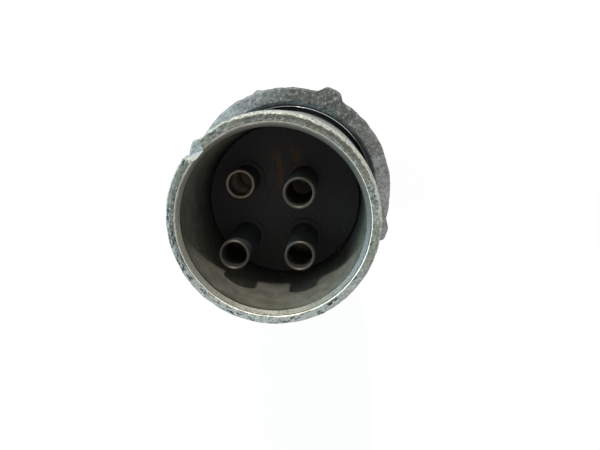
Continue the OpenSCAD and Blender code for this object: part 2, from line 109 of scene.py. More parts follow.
world = bpy.data.worlds.new("soft_room")
bpy.context.scene.world = world
world.use_nodes = True
tree = world.node_tree
tree.nodes.clear()
rays = add_node(tree, "LightPath")
room = add_node(tree, "Background", {"Color": (0.97, 0.985, 1, 1), "Strength": 0.75})
backdrop = add_node(tree, "Background", {"Color": (1, 1, 1, 1), "Strength": 1.0})
seen = add_node(tree, "MixShader", {}, {"Fac": rays.outputs["Is Camera Ray"],
                                       1: room.outputs[0], 2: backdrop.outputs[0]})
add_node(tree, "OutputWorld", {}, {"Surface": seen.outputs[0]})

bpy.ops.mesh.primitive_plane_add(size=4, location=(0, 0, 0))
floor = bpy.context.object
floor.name = "floor"
paper = bpy.data.materials.new("white_paper")
paper.use_nodes = True
tree = paper.node_tree
tree.nodes.clear()
rays = add_node(tree, "LightPath")
matt = add_node(tree, "BsdfDiffuse", {"Color": (0.86, 0.86, 0.86, 1)})
bright = add_node(tree, "Emission", {"Color": (1, 1, 1, 1), "Strength": 1.0})
seen = add_node(tree, "Math", {"operation": "MULTIPLY", 1: 0.88}, {0: rays.outputs["Is Camera Ray"]})
both = add_node(tree, "MixShader", {}, {"Fac": seen.outputs[0], 1: matt.outputs[0], 2: bright.outputs[0]})
add_node(tree, "OutputMaterial", {}, {"Surface": both.outputs[0]})
floor.data.materials.append(paper)

# ---------------------------------------------------------------- front barrel
# Turned and bored from aluminium bar and left bare. Its rim is dented from being dragged
# about, white oxide has grown on the edge, and an olive film lies in the cup.
# its profile, as pairs of radius and depth below the mouth, in mm
crest = (16.40, 0.15)
barrel_r = 18.25
rim_steps = [(16.45, 0.08), (16.55, 0.0)] + [(16.55 + 0.12 * k, 0.0) for k in range(1, 10)]
rim_edge = [(17.72, 0.02), (17.80, 0.05), (17.87, 0.12), (17.92, 0.22)]
rim_edge += [(17.92 + 0.33 * k / 6, 0.22 + 0.78 * k / 6) for k in range(1, 7)]
outside = [(barrel_r, 1.0 + 0.35 * k) for k in range(1, 9)]
outside += [(barrel_r, 35.5), (17.95, 35.8), (17.95, 44.0)]
flange = [(18.85, 44.0), (19.15, 44.3), (19.15, 47.2), (18.85, 47.5)]
sleeve = [(17.65, 47.5), (17.65, 61.8), (17.45, 62.0)]
rear_thread = [(16.45, 62.0), (16.45, 62.8), (16.85, 63.2), (16.85, 69.5), (16.35, 70.0)]
bore = [(15.0, 70.0), (15.0, 55.85), (15.6, 55.85), (15.6, 54.65), (15.0, 54.65), (15.0, 28.3)]
cup = [(15.9, 28.3), (15.9, 8.0), (15.88, 5.0), (15.80, 3.0), (15.72, 2.0), (15.65, 1.35), (15.60, 0.95)]
lead_in = [(15.62 + 0.78 * k / 8, 0.85 - 0.70 * k / 8) for k in range(8)]
bpy.ops.object.select_all(action="DESELECT")
bpy.ops.mesh.primitive_circle_add(vertices=384, radius=crest[0] * MM,
                                  location=(0, 0, mouth_z - crest[1] * MM))
barrel = bpy.context.object
barrel.name = "front_barrel_worn"
bpy.ops.object.transform_apply(location=True, rotation=False, scale=False)
bpy.ops.object.mode_set(mode="EDIT")
bpy.ops.mesh.select_mode(type="VERT")
bpy.ops.mesh.select_all(action="SELECT")
before = crest
for step in rim_steps + rim_edge + outside + flange + sleeve + rear_thread + bore + cup + lead_in:
    bpy.ops.mesh.extrude_region_move(TRANSFORM_OT_translate={"value": (0, 0, (before[1] - step[1]) * MM)})
    bpy.ops.transform.resize(value=(step[0] / before[0], step[0] / before[0], 1), center_override=(0, 0, 0))
    before = step
bpy.ops.mesh.select_all(action="DESELECT")
bpy.ops.mesh.select_mode(type="EDGE")
bpy.ops.mesh.select_non_manifold()
bpy.ops.mesh.bridge_edge_loops()
bpy.ops.mesh.select_all(action="SELECT")
bpy.ops.mesh.normals_make_consistent(inside=False)
bpy.ops.object.mode_set(mode="OBJECT")
# the keyway: a cone across the wall, its mouth-side half drawn out past the rim. The floor
# runs 0.8 mm nearer the axis towards the mouth, so the rim is open there; the flanks lean.
keyway_turn = math.radians(138)
keyway_length = 31 * MM
floor_runs_in = 0.8 * MM
wall_r = 18.05 * MM
off_line = 0.12 * MM
past_rim = 34 * MM
foot_z = mouth_z - keyway_length
slope = math.atan2(floor_runs_in, keyway_length)
outward = Vector((math.cos(keyway_turn), math.sin(keyway_turn), 0))
sideways = Vector((-math.sin(keyway_turn), math.cos(keyway_turn), 0))
bpy.ops.mesh.primitive_cone_add(vertices=64, radius1=1.07 * MM, radius2=2.47 * MM, depth=2.4 * MM,
                                rotation=(0, math.pi / 2 - slope, keyway_turn),
                                location=wall_r * outward - off_line * sideways + Vector((0, 0, foot_z)))
cutter = bpy.context.object
bpy.ops.object.transform_apply(location=True, rotation=True, scale=True)
bpy.ops.object.mode_set(mode="EDIT")
bpy.ops.mesh.select_mode(type="VERT")
bpy.ops.mesh.select_all(action="DESELECT")
bpy.ops.object.mode_set(mode="OBJECT")
for corner in cutter.data.vertices:
    middle_z = foot_z + slope * (corner.co.dot(outward) - wall_r)
    corner.select = corner.co.z > middle_z - 0.01 * MM
bpy.ops.object.mode_set(mode="EDIT")
bpy.ops.transform.translate(value=Vector((0, 0, past_rim)) - past_rim * math.tan(slope) * outward)
bpy.ops.object.mode_set(mode="OBJECT")
bpy.context.view_layer.objects.active = barrel
slot = barrel.modifiers.new("keyway", "BOOLEAN")
slot.object = cutter
slot.solver = "EXACT"
bpy.ops.object.modifier_apply(modifier="keyway")
bpy.data.objects.remove(cutter)
# dents push the rim in and never out, fading towards the foot of the band they lie in
rim = barrel.vertex_groups.new(name="rim")
band_foot = mouth_z - 3.9 * MM
for corner in barrel.data.vertices:
    up_band = corner.co.z - band_foot
    if up_band > 0 and math.hypot(corner.co.x, corner.co.y) > 16.3 * MM:
        rim.add([corner.index], min(1.0, up_band / (1.6 * MM)), "REPLACE")
for name, width, push in (("dents", 2.4, 0.20), ("nicks", 0.7, 0.16)):
    clouds = bpy.data.textures.new("rim_" + name, "CLOUDS")
    clouds.noise_scale = width * MM
    clouds.noise_depth = 2
    knock = barrel.modifiers.new(name, "DISPLACE")
    knock.texture = clouds
    knock.texture_coords = "LOCAL"
    knock.vertex_group = "rim"
    knock.strength = push * MM
    knock.mid_level = 1.0
    bpy.ops.object.modifier_apply(modifier=name)
for corner in barrel.data.vertices:
    corner.co.z = min(corner.co.z, mouth_z)
bpy.ops.object.shade_smooth_by_angle(angle=math.radians(34))
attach(barrel, "shell")
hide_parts("front_barrel")

worn = bpy.data.materials.new("aluminium_turned_weathered")
worn.use_nodes = True
tree = worn.node_tree
tree.nodes.clear()
where = add_node(tree, "TexCoord").outputs["Object"]
height = add_node(tree, "SeparateXYZ", {}, {0: where}).outputs["Z"]
flat = add_node(tree, "VectorMath", {"operation": "MULTIPLY", 1: (1, 1, 0)}, {0: where})
radius = add_node(tree, "VectorMath", {"operation": "LENGTH"}, {0: flat.outputs[0]}).outputs["Value"]
facing = add_node(tree, "VectorMath", {"operation": "NORMALIZE"}, {0: flat.outputs[0]}).outputs[0]
# marks that run round the rim, as turning and knocks leave them: three times as long as wide
lap = add_node(tree, "VectorMath", {"operation": "SCALE", "Scale": 17 * MM}, {0: facing})
across = add_node(tree, "Math", {"operation": "MULTIPLY_ADD", 1: 3.0}, {0: radius, 2: height})
rise = add_node(tree, "CombineXYZ", {}, {2: across.outputs[0]})
around = add_node(tree, "VectorMath", {"operation": "ADD"},
                  {0: lap.outputs[0], 1: rise.outputs[0]}).outputs[0]
# patches 3 mm across, grain of 0.5 mm, and dashes 1.8 mm long
patches = add_node(tree, "TexNoise", {"Scale": 330, "Detail": 3, "Roughness": 0.6},
                   {"Vector": where}).outputs["Fac"]
grain = add_node(tree, "TexNoise", {"Scale": 2100, "Detail": 4, "Roughness": 0.7},
                 {"Vector": where}).outputs["Fac"]
dashes = add_node(tree, "TexNoise", {"Scale": 560, "Detail": 4, "Roughness": 0.66},
                  {"Vector": around}).outputs["Fac"]
metal = add_node(tree, "ValToRGB", {"stops": ((0.40, "#4e5253"), (0.60, "#999d94"))}, {0: grain})
stained = add_node(tree, "MapRange", {"From Min": 0.46, "From Max": 0.60, "To Max": 0.6}, {0: patches})
stain = add_node(tree, "Mix", {"data_type": "RGBA", 7: paint("#74715f")},
                 {0: stained.outputs[0], 6: metal.outputs[0]})
# the rim has stayed paler below and gone darker above
below = add_node(tree, "VectorMath", {"operation": "DOT_PRODUCT", 1: (-0.1, -0.99, 0)},
                 {0: facing}).outputs["Value"]
paler = add_node(tree, "MapRange", {"From Min": 0.2, "From Max": 0.9, "To Max": 0.5}, {0: below})
pale = add_node(tree, "Mix", {"data_type": "RGBA", 7: paint("#b4b7b0")},
                {0: paler.outputs[0], 6: stain.outputs[2]})
darker = add_node(tree, "MapRange", {"From Min": -0.2, "From Max": -0.9, "To Max": 0.5}, {0: below})
toned = add_node(tree, "Mix", {"data_type": "RGBA", 7: paint("#504d40")},
                 {0: darker.outputs[0], 6: pale.outputs[2]})
# its inner half is darkest on the left
left = add_node(tree, "VectorMath", {"operation": "DOT_PRODUCT", 1: (-0.99, 0.1, 0)},
                {0: facing}).outputs["Value"]
left = add_node(tree, "MapRange", {"From Min": 0.72, "From Max": 0.96, "To Max": 0.7}, {0: left})
inner = add_node(tree, "MapRange", {"From Min": 17.30 * MM, "From Max": 16.95 * MM}, {0: radius})
inner = add_node(tree, "Math", {"operation": "MULTIPLY"}, {0: inner.outputs[0], 1: left.outputs[0]})
toned = add_node(tree, "Mix", {"data_type": "RGBA", 7: paint("#3f4442")},
                 {0: inner.outputs[0], 6: toned.outputs[2]})
# dark nicks gather on the side the plug is dragged on
dragged = add_node(tree, "VectorMath", {"operation": "DOT_PRODUCT", 1: (-0.78, -0.62, 0)},
                   {0: facing}).outputs["Value"]
begins = add_node(tree, "MapRange", {"From Min": -0.9, "From Max": 0.7, "To Min": 0.63, "To Max": 0.535},
                  {0: dragged})
over = add_node(tree, "Math", {"operation": "SUBTRACT"}, {0: dashes, 1: begins.outputs[0]})
nicked = add_node(tree, "MapRange", {"From Min": 0.0, "From Max": 0.04, "To Max": 0.95}, {0: over.outputs[0]})
on_rim = add_node(tree, "MapRange", {"From Min": mouth_z - 1.9 * MM, "From Max": mouth_z - 1.0 * MM},
                  {0: height})
nicked = add_node(tree, "Math", {"operation": "MULTIPLY"}, {0: nicked.outputs[0], 1: on_rim.outputs[0]})
pocked = add_node(tree, "Mix", {"data_type": "RGBA", 7: paint("#26292d")},
                  {0: nicked.outputs[0], 6: toned.outputs[2]})
# bluish-white flecks of oxide on the same side, 0.6 mm long
fleck = add_node(tree, "TexNoise", {"Scale": 1700, "Detail": 3, "Roughness": 0.7},
                 {"Vector": around}).outputs["Fac"]
flecks = add_node(tree, "MapRange", {"From Min": 0.57, "From Max": 0.66}, {0: fleck})
left_side = add_node(tree, "MapRange", {"From Min": 0.2, "From Max": 0.8, "To Min": 0.15, "To Max": 0.75},
                     {0: dragged})
flecks = add_node(tree, "Math", {"operation": "MULTIPLY"}, {0: flecks.outputs[0], 1: left_side.outputs[0]})
flecked = add_node(tree, "Mix", {"data_type": "RGBA", 7: paint("#b9c0c2")},
                   {0: flecks.outputs[0], 6: pocked.outputs[2]})
# white oxide on the rim's edge all round but the lower right, widest above, a brown line inside it. The band
# is partly painted light: widest above, where the lamp falls, and left out at the lower right, which lies in
# shade
ragged = add_node(tree, "MapRange",
                  {"From Min": 0.3, "From Max": 0.7, "To Min": -0.22 * MM, "To Max": 0.22 * MM}, {0: dashes})
edge_at = add_node(tree, "Math", {"operation": "ADD"}, {0: radius, 1: ragged.outputs[0]}).outputs[0]
top_side = add_node(tree, "VectorMath", {"operation": "DOT_PRODUCT", 1: (0.42, 0.91, 0)},
                    {0: facing}).outputs["Value"]
# painted light: the oxide band is drawn wider on the upper side, which the lamp lights
wider_where_lit = add_node(tree, "MapRange",
                {"From Min": 0.1, "From Max": 0.7, "To Min": 0.08 * MM, "To Max": 0.20 * MM}, {0: top_side})
chalk_at = add_node(tree, "Math", {"operation": "ADD"}, {0: edge_at, 1: wider_where_lit.outputs[0]})
chalk_and_lit_band = add_node(tree, "MapRange", {"From Min": 17.74 * MM, "From Max": 17.86 * MM}, {0: chalk_at.outputs[0]})
near_rim = add_node(tree, "MapRange", {"From Min": mouth_z - 4.2 * MM, "From Max": mouth_z - 1.6 * MM},
                    {0: height})
# painted shade: the band is left out at the lower right, which faces away from the lamp
oxide_and_lit_side = add_node(tree, "VectorMath", {"operation": "DOT_PRODUCT", 1: (-0.42, 0.91, 0)},
                      {0: facing}).outputs["Value"]
upper = add_node(tree, "MapRange", {"From Min": -0.75, "From Max": -0.45, "To Max": 0.92}, {0: oxide_and_lit_side})
chalk_and_lit_band = add_node(tree, "Math", {"operation": "MULTIPLY"}, {0: chalk_and_lit_band.outputs[0], 1: near_rim.outputs[0]})
chalk_and_lit_band = add_node(tree, "Math", {"operation": "MULTIPLY"}, {0: chalk_and_lit_band.outputs[0], 1: upper.outputs[0]})
# and on the keyway's lower flank, fading with depth: oxide, with painted light, as this flank faces the lamp
beside = add_node(tree, "VectorMath", {"operation": "DOT_PRODUCT", 1: sideways}, {0: where}).outputs["Value"]
lip_in = add_node(tree, "MapRange", {"From Min": 0.6 * MM, "From Max": 0.9 * MM}, {0: beside})
lip_out = add_node(tree, "MapRange", {"From Min": 1.97 * MM, "From Max": 1.77 * MM}, {0: beside})
lip = add_node(tree, "Math", {"operation": "MULTIPLY"}, {0: lip_in.outputs[0], 1: lip_out.outputs[0]})
fading = add_node(tree, "MapRange",
                  {"From Min": mouth_z - 14 * MM, "From Max": mouth_z - 6 * MM, "To Max": 0.9}, {0: height})
lip = add_node(tree, "Math", {"operation": "MULTIPLY"}, {0: lip.outputs[0], 1: fading.outputs[0]})
towards = add_node(tree, "VectorMath", {"operation": "DOT_PRODUCT", 1: outward}, {0: facing}).outputs["Value"]
at_keyway = add_node(tree, "MapRange", {"From Min": 0.97, "From Max": 0.98}, {0: towards})
lip = add_node(tree, "Math", {"operation": "MULTIPLY"}, {0: lip.outputs[0], 1: at_keyway.outputs[0]})
chalk_and_lit_band = add_node(tree, "Math", {"operation": "MAXIMUM"}, {0: chalk_and_lit_band.outputs[0], 1: lip.outputs[0]})
cream = add_node(tree, "ValToRGB", {"stops": ((0.36, "#5d5e54"), (0.56, "#bcbcae"))}, {0: grain})
with_chalk_and_lit_band = add_node(tree, "Mix", {"data_type": "RGBA"},
                   {0: chalk_and_lit_band.outputs[0], 6: flecked.outputs[2], 7: cream.outputs[0]})
brown_in = add_node(tree, "MapRange", {"From Min": 16.90 * MM, "From Max": 17.10 * MM}, {0: edge_at})
brown_out = add_node(tree, "MapRange", {"From Min": 17.60 * MM, "From Max": 17.46 * MM}, {0: edge_at})
brown_side = add_node(tree, "MapRange", {"From Min": 0.70, "From Max": 0.95, "To Max": 0.7}, {0: top_side})
brown = add_node(tree, "Math", {"operation": "MULTIPLY"}, {0: brown_in.outputs[0], 1: brown_out.outputs[0]})
brown = add_node(tree, "Math", {"operation": "MULTIPLY"}, {0: brown.outputs[0], 1: brown_side.outputs[0]})
brown = add_node(tree, "Math", {"operation": "MULTIPLY"}, {0: brown.outputs[0], 1: near_rim.outputs[0]})
lined = add_node(tree, "Mix", {"data_type": "RGBA", 7: paint("#4a4639")},
                 {0: brown.outputs[0], 6: with_chalk_and_lit_band.outputs[2]})
# the barrel's side: olive stains, scratches 0.7 mm wide along it from plugging in, and turning
# lines 0.3 mm apart, coarser than a lathe's usual 0.1 mm so that they show
lines_at = add_node(tree, "Mapping", {"Scale": (0.03, 0.03, 1)}, {"Vector": where})
lines = add_node(tree, "TexNoise", {"Scale": 3300, "Detail": 2},
                 {"Vector": lines_at.outputs[0]}).outputs["Fac"]
along = add_node(tree, "Mapping", {"Scale": (1, 1, 0.05)}, {"Vector": where})
scratch = add_node(tree, "TexNoise", {"Scale": 1500, "Detail": 3, "Roughness": 0.6},
                   {"Vector": along.outputs[0]}).outputs["Fac"]
turned = add_node(tree, "ValToRGB", {"stops": ((0.30, "#7c7f7d"), (0.70, "#9a9d9a"))}, {0: lines})
olive = add_node(tree, "MapRange", {"From Min": 0.50, "From Max": 0.66, "To Max": 0.6}, {0: patches})
turned = add_node(tree, "Mix", {"data_type": "RGBA", 7: paint("#78766a")},
                  {0: olive.outputs[0], 6: turned.outputs[0]})
scored = add_node(tree, "MapRange", {"From Min": 0.60, "From Max": 0.70, "To Max": 0.55}, {0: scratch})
turned = add_node(tree, "Mix", {"data_type": "RGBA", 7: paint("#c4c7c4")},
                  {0: scored.outputs[0], 6: turned.outputs[2]})
# painted reflection: the wall's upper side is darkened, as it mirrors the dark gap by the ring there
upper_dark_reflection = add_node(tree, "MapRange", {"From Min": 0.45, "From Max": 0.80, "To Max": 0.9}, {0: top_side})
turned = add_node(tree, "Mix", {"data_type": "RGBA", 7: paint("#46443b")},
                  {0: upper_dark_reflection.outputs[0], 6: turned.outputs[2]})
pits = add_node(tree, "MapRange", {"From Min": 0.66, "From Max": 0.72, "To Max": 0.7}, {0: grain})
turned = add_node(tree, "Mix", {"data_type": "RGBA", 7: paint("#4a4a44")},
                  {0: pits.outputs[0], 6: turned.outputs[2]})
side = add_node(tree, "MapRange", {"From Min": mouth_z - 1.4 * MM, "From Max": mouth_z - 4.6 * MM},
                {0: height})
outer = add_node(tree, "MapRange", {"From Min": 16.45 * MM, "From Max": 16.65 * MM}, {0: radius})
side = add_node(tree, "Math", {"operation": "MULTIPLY"}, {0: side.outputs[0], 1: outer.outputs[0]})
lined = add_node(tree, "Mix", {"data_type": "RGBA"},
                 {0: side.outputs[0], 6: lined.outputs[2], 7: turned.outputs[2]})
lined = add_node(tree, "Mix", {"data_type": "RGBA"},
                 {0: lip.outputs[0], 6: lined.outputs[2], 7: cream.outputs[0]})
# the cup: an olive film, lighter on the lead-in, with a painted shade line at the lead-in's foot, darkest on
# the left, and painted shade deeper in
right_side = add_node(tree, "VectorMath", {"operation": "DOT_PRODUCT", 1: (0.98, 0.17, 0)},
                      {0: facing}).outputs["Value"]
inside = add_node(tree, "MapRange", {"From Min": 16.48 * MM, "From Max": 16.42 * MM}, {0: radius})
film = add_node(tree, "ValToRGB", {"stops": ((0.35, "#6d6c60"), (0.65, "#878679"))}, {0: patches})
speck = add_node(tree, "MapRange", {"From Min": 0.50, "From Max": 0.70, "To Max": 0.55}, {0: grain})
film = add_node(tree, "Mix", {"data_type": "RGBA", 7: paint("#3d3b32")},
                {0: speck.outputs[0], 6: film.outputs[0]})
# painted shade: the film darkens deeper in the cup
deep_shade = add_node(tree, "MapRange",
                {"From Min": mouth_z - 9 * MM, "From Max": mouth_z - 23 * MM, "To Max": 0.75}, {0: height})
film = add_node(tree, "Mix", {"data_type": "RGBA", 7: paint("#3f403f")},
                {0: deep_shade.outputs[0], 6: film.outputs[2]})
filmed = add_node(tree, "Mix", {"data_type": "RGBA"},
                  {0: inside.outputs[0], 6: lined.outputs[2], 7: film.outputs[2]})
# painted shade: a dark line at the lead-in's foot, stronger towards the shaded left wall
shut = add_node(tree, "MapRange", {"From Min": mouth_z - 2.3 * MM, "From Max": mouth_z - 1.2 * MM},
                {0: height})
shade_on_left = add_node(tree, "MapRange", {"From Min": 0.3, "From Max": -0.5, "To Min": 0.15, "To Max": 0.75},
                 {0: right_side})
shut = add_node(tree, "Math", {"operation": "MULTIPLY"}, {0: shut.outputs[0], 1: shade_on_left.outputs[0]})
shut = add_node(tree, "Math", {"operation": "MULTIPLY"}, {0: shut.outputs[0], 1: inside.outputs[0]})
filmed = add_node(tree, "Mix", {"data_type": "RGBA", 7: paint("#34342d")},
                  {0: shut.outputs[0], 6: filmed.outputs[2]})
foot = add_node(tree, "MapRange", {"From Min": mouth_z - 0.98 * MM, "From Max": mouth_z - 0.86 * MM},
                {0: height})
leading = add_node(tree, "Math", {"operation": "MULTIPLY"}, {0: inside.outputs[0], 1: foot.outputs[0]})
# painted light: the lead-in is lighter on its upper side, which lies in shade
upper_painted_light = add_node(tree, "MapRange", {"From Min": 0.1, "From Max": -0.9}, {0: below})
olive_tan = add_node(tree, "Mix", {"data_type": "RGBA", 6: paint("#78766b"), 7: paint("#827f73")},
                     {0: upper_painted_light.outputs[0]})
# painted light: the lead-in's right side, which faces the cool window, is tinted cool grey
window_side_tint = add_node(tree, "MapRange", {"From Min": 0.3, "From Max": 0.85, "To Max": 0.85}, {0: right_side})
taper = add_node(tree, "Mix", {"data_type": "RGBA", 7: paint("#5e6162")},
                 {0: window_side_tint.outputs[0], 6: olive_tan.outputs[2]})
# painted shade: it darkens inward, most above, where the lead-in faces away from the lamp
inward = add_node(tree, "MapRange", {"From Min": 16.40 * MM, "From Max": 15.70 * MM}, {0: radius})
shady = add_node(tree, "MapRange", {"From Min": 0.2, "From Max": -0.7, "To Min": 0.1, "To Max": 0.85},
                 {0: below})
inward = add_node(tree, "Math", {"operation": "MULTIPLY"}, {0: inward.outputs[0], 1: shady.outputs[0]})
taper = add_node(tree, "Mix", {"data_type": "RGBA", 7: paint("#45443b")},
                 {0: inward.outputs[0], 6: taper.outputs[2]})
tapered = add_node(tree, "Mix", {"data_type": "RGBA"},
                   {0: leading.outputs[0], 6: filmed.outputs[2], 7: taper.outputs[2]})
# the crest between rim and lead-in, rubbed bright where plugs enter, and painted paler still for the glint it
# shows
crest_in = add_node(tree, "MapRange", {"From Min": 16.36 * MM, "From Max": 16.42 * MM}, {0: radius})
crest_out = add_node(tree, "MapRange", {"From Min": 16.55 * MM, "From Max": 16.50 * MM}, {0: radius})
rubbed_and_glint = add_node(tree, "Math", {"operation": "MULTIPLY"}, {0: crest_in.outputs[0], 1: crest_out.outputs[0]})
rubbed_and_glint = add_node(tree, "Math", {"operation": "MULTIPLY"}, {0: rubbed_and_glint.outputs[0], 1: near_rim.outputs[0]})
base = add_node(tree, "Mix", {"data_type": "RGBA", 7: paint("#cdc9b9")},
                {0: rubbed_and_glint.outputs[0], 6: tapered.outputs[2]})
rough = add_node(tree, "MapRange", {"To Min": 0.40, "To Max": 0.62}, {0: grain})
polish = add_node(tree, "MapRange", {"To Min": 0.24, "To Max": 0.46}, {0: patches})
rough = add_node(tree, "Mix", {}, {0: side.outputs[0], 2: rough.outputs[0], 3: polish.outputs[0]})
metallic = add_node(tree, "MapRange", {"To Min": 0.5, "To Max": 0.95}, {0: side.outputs[0]})
hollow = add_node(tree, "Math", {"operation": "MULTIPLY_ADD", 1: -0.7}, {0: nicked.outputs[0], 2: grain})
smooth = add_node(tree, "Math", {"operation": "MULTIPLY_ADD", 1: 0.3}, {0: grain, 2: lines})
hollow = add_node(tree, "Mix", {}, {0: side.outputs[0], 2: hollow.outputs[0], 3: smooth.outputs[0]})
bump = add_node(tree, "Bump", {"Strength": 0.6, "Distance": 0.12 * MM}, {"Height": hollow.outputs[0]})
skin = add_node(tree, "BsdfPrincipled", {},
                {"Base Color": base.outputs[2], "Metallic": metallic.outputs[0],
                 "Roughness": rough.outputs[0], "Normal": bump.outputs[0]})
add_node(tree, "OutputMaterial", {}, {"Surface": skin.outputs[0]})
barrel.data.materials.append(worn)

# ---------------------------------------------------------------- gaskets, seal and grommet
# Moulded black nitrile rubber: the flat gasket in front of the flange, the disc between the
# insulators, the shell's sealing ring and the grommet that grips a cable. All are held by
# being squeezed; their skin is matt and a little grey where it has aged.
aged = bpy.data.materials.new("nitrile_rubber_moulded")
aged.use_nodes = True
tree = aged.node_tree
tree.nodes.clear()
where = add_node(tree, "TexCoord").outputs["Object"]
# bloom in patches 2.4 mm across, and the mould's grain of 0.24 mm
bloom = add_node(tree, "TexNoise", {"Scale": 420, "Detail": 4, "Roughness": 0.6},
                 {"Vector": where}).outputs["Fac"]
fine = add_node(tree, "TexNoise", {"Scale": 4200, "Detail": 2}, {"Vector": where}).outputs["Fac"]
black = add_node(tree, "ValToRGB", {"stops": ((0.38, "#1c1c1b"), (0.72, "#3a3936"))}, {0: bloom})
dull = add_node(tree, "MapRange", {"To Min": 0.55, "To Max": 0.85}, {0: bloom})
bump = add_node(tree, "Bump", {"Strength": 0.3, "Distance": 0.04 * MM}, {"Height": fine})
skin = add_node(tree, "BsdfPrincipled", {"IOR": 1.52},
                {"Base Color": black.outputs[0], "Roughness": dull.outputs[0], "Normal": bump.outputs[0]})
add_node(tree, "OutputMaterial", {}, {"Surface": skin.outputs[0]})
for name in ("flange_gasket", "interface_seal", "shell_gasket", "cable_grommet"):
    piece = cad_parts[name]
    piece.data.materials.clear()
    piece.data.materials.append(aged)

# ---------------------------------------------------------------- clips, retaining ring and washers
# Turned or stamped brass: the split clips behind the contacts' collars, the spacer ring behind
# the insulators and two washers. Held inside by the parts round them; damp has browned them.
brass = bpy.data.materials.new("brass_turned_tarnished")
brass.use_nodes = True
tree = brass.node_tree
tree.nodes.clear()
where = add_node(tree, "TexCoord").outputs["Object"]
# tarnish in patches 1.9 mm across
tarnish = add_node(tree, "TexNoise", {"Scale": 520, "Detail": 5, "Roughness": 0.65},
                   {"Vector": where}).outputs["Fac"]
# turning lines 0.12 mm apart
lines_at = add_node(tree, "Mapping", {"Scale": (0.02, 0.02, 1)}, {"Vector": where})
lines = add_node(tree, "TexNoise", {"Scale": 8300, "Detail": 2},
                 {"Vector": lines_at.outputs[0]}).outputs["Fac"]
yellow = add_node(tree, "ValToRGB", {"stops": ((0.36, "#4c4330"), (0.68, "#8f7d50"))}, {0: tarnish})
dull = add_node(tree, "MapRange", {"To Min": 0.55, "To Max": 0.30}, {0: tarnish})
bump = add_node(tree, "Bump", {"Strength": 0.35, "Distance": 0.03 * MM}, {"Height": lines})
skin = add_node(tree, "BsdfPrincipled", {"Metallic": 0.9},
                {"Base Color": yellow.outputs[0], "Roughness": dull.outputs[0], "Normal": bump.outputs[0]})
add_node(tree, "OutputMaterial", {}, {"Surface": skin.outputs[0]})
for name in ("contact_clips", "insert_retaining_ring", "thrust_washer", "slip_washer"):
    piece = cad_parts[name]
    piece.data.materials.clear()
    piece.data.materials.append(brass)

# ---------------------------------------------------------------- locating pin
# Turned from brass rod. It stands half in the barrel's wall and half in the front insulator's
# edge, which keeps that from turning, and its end has gone as dark as the dust round it.
dark = bpy.data.materials.new("brass_blackened")
dark.use_nodes = True
tree = dark.node_tree
tree.nodes.clear()
where = add_node(tree, "TexCoord").outputs["Object"]
# a crust in grains of 0.4 mm
crust = add_node(tree, "TexNoise", {"Scale": 2600, "Detail": 3}, {"Vector": where}).outputs["Fac"]
brown = add_node(tree, "ValToRGB", {"stops": ((0.40, "#27241e"), (0.70, "#3c362a"))}, {0: crust})
bump = add_node(tree, "Bump", {"Strength": 0.4, "Distance": 0.03 * MM}, {"Height": crust})
skin = add_node(tree, "BsdfPrincipled", {"Metallic": 0.3, "Roughness": 0.65},
                {"Base Color": brown.outputs[0], "Normal": bump.outputs[0]})
add_node(tree, "OutputMaterial", {}, {"Surface": skin.outputs[0]})
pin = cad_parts["locating_pin"]
pin.data.materials.clear()
pin.data.materials.append(dark)

# ---------------------------------------------------------------- front and rear insulators
# Thermosetting resin, moulded black-brown, and held against the step at the cup's foot by the
# snap ring. The face is matt with dust, and a few rusty runs have dried on it.
resin = bpy.data.materials.new("thermoset_resin_moulded")
resin.use_nodes = True
tree = resin.node_tree
tree.nodes.clear()
where = add_node(tree, "TexCoord").outputs["Object"]
# runs 2.4 mm wide and three times as long, and dust in specks of 0.5 mm
run_at = add_node(tree, "Mapping", {"Scale": (1, 0.35, 1)}, {"Vector": where})
runs = add_node(tree, "TexNoise", {"Scale": 420, "Detail": 3, "Roughness": 0.6},
                {"Vector": run_at.outputs[0]})
dust = add_node(tree, "TexNoise", {"Scale": 1900, "Detail": 3}, {"Vector": where})
tone = add_node(tree, "ValToRGB", {"stops": ((0.40, "#272725"), (0.65, "#2f2f2d"))}, {0: dust.outputs["Fac"]})
# rust has run down between the two upper contacts only
run_start = (0.6 * MM, 6.3 * MM, mouth_z - 24 * MM)
run_side = add_node(tree, "VectorMath", {"operation": "DISTANCE", 1: run_start}, {0: where})
near_run = add_node(tree, "MapRange", {"From Min": 5.6 * MM, "From Max": 2.0 * MM},
                    {0: run_side.outputs["Value"]})
thick_run = add_node(tree, "MapRange", {"From Min": 0.46, "From Max": 0.62}, {0: runs.outputs["Fac"]})
run_mask = add_node(tree, "Math", {"operation": "MULTIPLY"},
                    {0: near_run.outputs[0], 1: thick_run.outputs[0]})
tone = add_node(tree, "Mix", {"data_type": "RGBA", 7: paint("#57391f")},
                {0: run_mask.outputs[0], 6: tone.outputs[0]})
bump = add_node(tree, "Bump", {"Strength": 0.25, "Distance": 0.05 * MM}, {"Height": dust.outputs["Fac"]})
skin = add_node(tree, "BsdfPrincipled", {"Roughness": 0.6, "Specular IOR Level": 0.3},
                {"Base Color": tone.outputs[2], "Normal": bump.outputs[0]})
add_node(tree, "OutputMaterial", {}, {"Surface": skin.outputs[0]})
for name in ("front_insulator", "rear_insulator"):
    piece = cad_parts[name]
    piece.data.materials.clear()
    piece.data.materials.append(resin)

# ---------------------------------------------------------------- contacts
# Turned brass tubes, once silver plated, each held in the insulators by a split clip. The
# plating has tarnished nearly black on the sides and in the bores, and worn through to tan on
# the rims, where pins have entered.
plated = bpy.data.materials.new("silver_plated_brass_tarnished")
plated.use_nodes = True
tree = plated.node_tree
tree.nodes.clear()
where = add_node(tree, "TexCoord").outputs["Object"]
